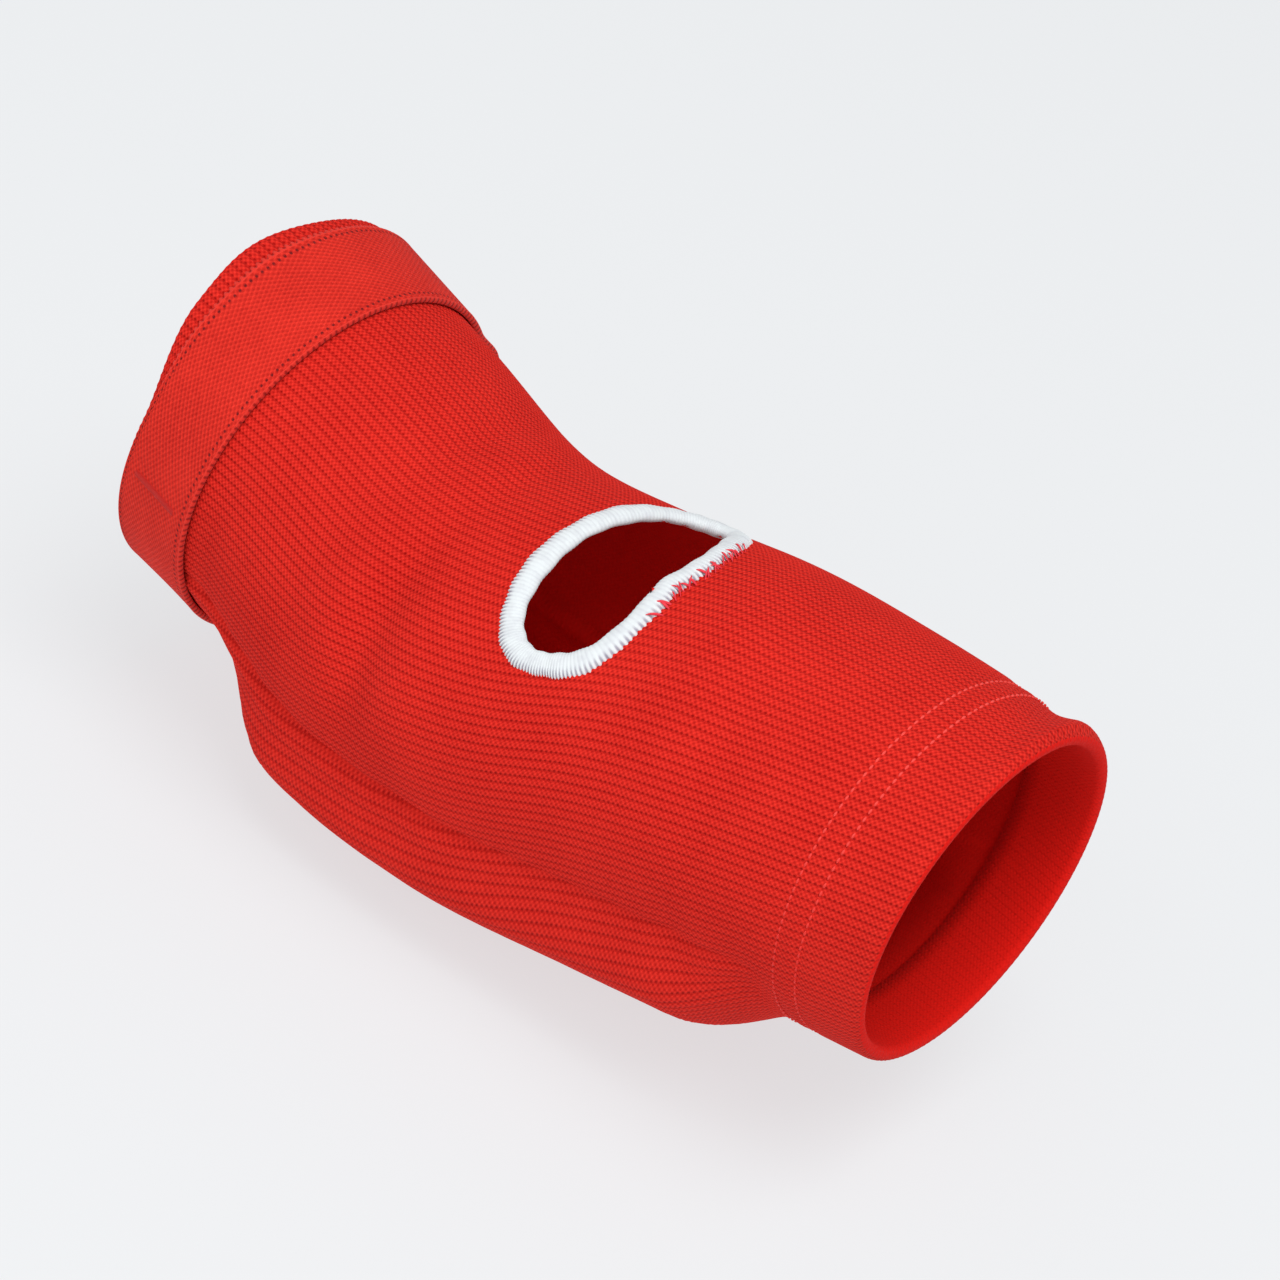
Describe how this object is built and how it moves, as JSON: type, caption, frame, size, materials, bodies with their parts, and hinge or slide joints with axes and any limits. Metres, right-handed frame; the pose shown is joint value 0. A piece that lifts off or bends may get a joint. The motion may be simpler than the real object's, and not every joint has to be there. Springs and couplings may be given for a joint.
{
  "type": "elbow pad",
  "caption": "Pull-on rib-knit elbow guard for martial arts, bent as worn, with a padded elbow, an overlocked crook opening, turned hems and an elastic strap.",
  "frame": {"origin": "the elbow's pivot, on the centre line of the arm inside the sleeve", "axes": "+X along the arm towards the forearm mouth, +Z out through the crook opening, +Y across the arm to the side where the strap closes"},
  "size_m": [0.2414, 0.1025, 0.1193],
  "materials": {
    "rib_knit": "matt rib knit, bright red",
    "lining_knit": "plain knit lining, red",
    "woven_elastic": "woven elastic webbing, slight sheen, red",
    "red_thread": "polyester thread, red",
    "white_overlock": "textured polyester overlock thread, white",
    "foam": "closed-cell foam, matt, dark grey",
    "loop_tape": "brushed nylon loop tape, red",
    "hook_tape": "moulded nylon hook tape, red"
  },
  "bodies": {
    "upper_arm": {"sleeve_upper_arm": "rib_knit", "sleeve_elbow": "rib_knit", "crook_overlock_edge": "white_overlock", "pad_foam": "foam", "pad_lining": "lining_knit", "pad_lining_stitching": "red_thread", "upper_hem_turning": "rib_knit", "upper_hem_stitch_row": "red_thread", "strap_elastic": "woven_elastic", "strap_edge_mouth": "red_thread", "strap_edge_elbow": "red_thread", "strap_loop_patch": "loop_tape", "strap_bar_tacks": "red_thread"},
    "forearm": {"sleeve_forearm": "rib_knit", "forearm_hem_turning": "rib_knit", "forearm_hem_stitch_row_1": "red_thread", "forearm_hem_stitch_row_2": "red_thread"},
    "strap_end": {"strap_tab": "woven_elastic", "strap_tab_end_binding": "woven_elastic", "strap_hook_patch": "hook_tape", "strap_tab_stitching": "red_thread"}
  },
  "joints": [
    {"name": "elbow_bend", "type": "hinge", "parent": "upper_arm", "child": "forearm", "pos_m": [0, 0, 0], "axis": [0, -1, 0], "range_deg": [-17, 50], "deforming": ["sleeve_elbow", "crook_overlock_edge", "pad_foam", "pad_lining", "pad_lining_stitching"]},
    {"name": "tab_peel", "type": "hinge", "parent": "upper_arm", "child": "strap_end", "pos_m": [-0.09704, 0.05025, 0.0264], "axis": [0.9842, 0, -0.1771], "range_deg": [0, 95]}
  ]
}
